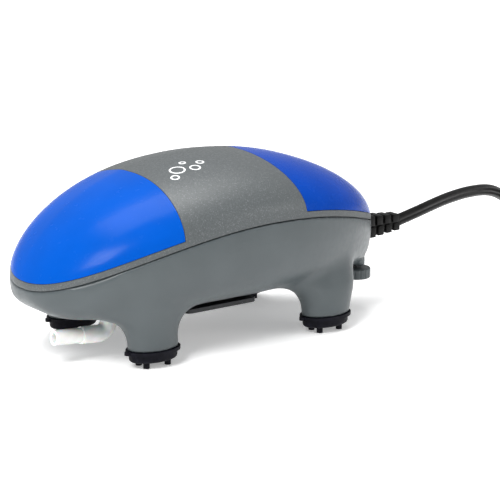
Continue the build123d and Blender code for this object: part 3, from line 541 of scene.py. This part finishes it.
def spline_samples(points):
    """Points along the NURBS spline that has these control points, in metres."""
    data = bpy.data.curves.new("route", "CURVE")
    data.dimensions = "3D"
    data.resolution_u = 6
    spline = data.splines.new("NURBS")
    spline.points.add(len(points) - 1)
    for place, point in zip(spline.points, points):
        place.co = (*(c * MM for c in point), 1.0)
    spline.order_u = 3
    spline.use_endpoint_u = True
    holder = bpy.data.objects.new("route", data)
    scene.collection.objects.link(holder)
    bpy.context.view_layer.update()
    line = bpy.data.meshes.new_from_object(holder.evaluated_get(bpy.context.evaluated_depsgraph_get()))
    samples = [v.co.copy() for v in line.vertices]
    bpy.data.objects.remove(holder)
    bpy.data.meshes.remove(line)
    return samples


def twin_profile():
    """The flat two-core lead's outline, wide axis first: two round cores joined by a web."""
    core = 1.75
    centre = 2.8 - core
    outline = []
    for side in (1, -1):
        for k in range(-6, 7):
            a = k * math.radians(124) / 6
            outline.append((side * (centre + core * math.cos(a)), side * core * math.sin(a)))
    return [(w * MM, t * MM) for w, t in outline]


def sweep(samples, profile, up=Vector((0, 0, 1))):
    """A closed tube of the profile along the samples, its first axis kept as near to up as it goes."""
    bm = bmesh.new()
    rings = []
    count = len(samples)
    for i, point in enumerate(samples):
        ahead = samples[min(i + 1, count - 1)] - samples[max(i - 1, 0)]
        tangent = ahead.normalized()
        wide = (up - tangent * up.dot(tangent)).normalized()
        thin = tangent.cross(wide)
        rings.append([bm.verts.new(point + wide * w + thin * t) for w, t in profile])
    n = len(profile)
    for a, b in zip(rings, rings[1:]):
        for k in range(n):
            bm.faces.new((a[k], a[(k + 1) % n], b[(k + 1) % n], b[k]))
    bm.faces.new(rings[0][::-1])
    bm.faces.new(rings[-1])
    return bm


def path_length(samples):
    return sum((b - a).length for a, b in zip(samples, samples[1:]))


RELIEF_LENGTH = 19.3 * MM
RIBS = 4
NECK_HALF = 3.4 * MM
RIB_LAG = 0.16             # how far the lower ribs sit behind the upper ones, in rib pitches
RIB_SHARE = 0.70           # a rib's length, in rib pitches
HALF_SPLIT = 0.28 * MM


def ribbed_relief():
    """The moulded strain relief: a core with four staggered pairs of ribs that taper, its neck and flange."""
    low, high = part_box("strain_relief")
    end = high[0]
    root = end - RELIEF_LENGTH
    exit_z = ROUTE[0][2] * MM
    bm = bmesh.new()

    def block(x0, x1, half_y, z0, z1, bevel):
        made = bmesh.ops.create_cube(bm, size=1.0)["verts"]
        for vert in made:
            vert.co = Vector((
                (x0 + x1) / 2 + vert.co.x * (x1 - x0),
                vert.co.y * 2 * half_y,
                (z0 + z1) / 2 + vert.co.z * (z1 - z0),
            ))
        edges = list({edge for vert in made for edge in vert.link_edges})
        bmesh.ops.bevel(
            bm, geom=edges, offset=bevel, segments=2, profile=0.5, affect="EDGES", clamp_overlap=True,
        )

    block(low[0], low[0] + 1.8 * MM, 4.3 * MM, exit_z - 4.5 * MM, exit_z + 4.5 * MM, 0.3 * MM)
    block(low[0] + 1.6 * MM, root + 1.0 * MM, NECK_HALF, exit_z - NECK_HALF, exit_z + NECK_HALF, 0.2 * MM)
    block(root, end, 2.3 * MM, exit_z - 2.6 * MM, exit_z + 2.6 * MM, 0.5 * MM)
    pitch = RELIEF_LENGTH / RIBS
    for i in range(RIBS):
        for side, lag in ((1, 0.0), (-1, RIB_LAG)):
            x0 = root + (i + lag) * pitch
            x1 = min(x0 + RIB_SHARE * pitch, end)
            share = (x0 - root) / RELIEF_LENGTH
            half_z = (5.1 - 1.6 * share) * MM
            half_y = (3.9 - 1.1 * share) * MM
            near, far = exit_z + side * HALF_SPLIT, exit_z + side * half_z
            block(x0, x1, half_y, min(near, far), max(near, far), 0.45 * MM)
    mesh = mesh_of("ribbed_relief", bm)
    smooth(mesh, 40)
    return mesh


relief = new_piece("ribbed_relief", ribbed_relief(), "cord_black")
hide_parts("strain_relief")

lead_samples = spline_samples(ROUTE + coil_points() + TAIL)
lead_mesh = mesh_of("mains_lead", sweep(lead_samples, twin_profile()))
smooth(lead_mesh, 50)
mains_lead = new_piece("mains_lead", lead_mesh, "cord_black")
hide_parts("cord", "cord_coil", "cord_tail")
print("lead length", round(path_length(lead_samples), 4))


# ---- Floor, world and lights -------------------------------------------------------------------

FLOOR_Z = -0.0002          # a hair under the feet


def make_floor():
    bm = bmesh.new()
    half = 6.0
    corners = ((-half, -half), (half, -half), (half, half), (-half, half))
    bm.faces.new([bm.verts.new((x, y, FLOOR_Z)) for x, y in corners])
    floor = bpy.data.objects.new("floor", mesh_of("floor", bm))
    scene.collection.objects.link(floor)
    m = Nodes("floor_white", (0.93, 0.93, 0.93), 0.75, Specular_IOR_Level=0.2, Emission_Color=(1, 1, 1, 1),
              Emission_Strength=0.30)
    m.color(m.ramp(m.noise(3.0, 2.0), (0.3, (0.925, 0.925, 0.925)), (0.7, (0.94, 0.94, 0.94))))
    floor.data.materials.append(m.material)


def make_world():
    world = bpy.data.worlds.new("studio")
    world.use_nodes = True
    world.node_tree.nodes["Background"].inputs["Color"].default_value = (1, 1, 1, 1)
    world.node_tree.nodes["Background"].inputs["Strength"].default_value = 0.48
    scene.world = world


def area_light(name, place, target, size, power):
    data = bpy.data.lights.new(name, "AREA")
    data.shape = "RECTANGLE"
    data.size, data.size_y = size
    data.energy = power
    light = bpy.data.objects.new(name, data)
    scene.collection.objects.link(light)
    light.location = place
    direction = Vector(target) - Vector(place)
    light.rotation_euler = direction.to_track_quat("-Z", "Y").to_euler()


make_floor()
make_world()
area_light("key", (-0.75, -0.35, 0.85), (0, 0, 0.04), (0.45, 0.45), 11.0)
area_light("top", (0.05, 0.20, 1.1), (0, 0, 0.04), (0.9, 0.6), 10.0)
area_light("side", (0.9, -0.9, 0.5), (0, 0, 0.04), (0.5, 0.5), 2.5)
scene.view_settings.view_transform = "Standard"
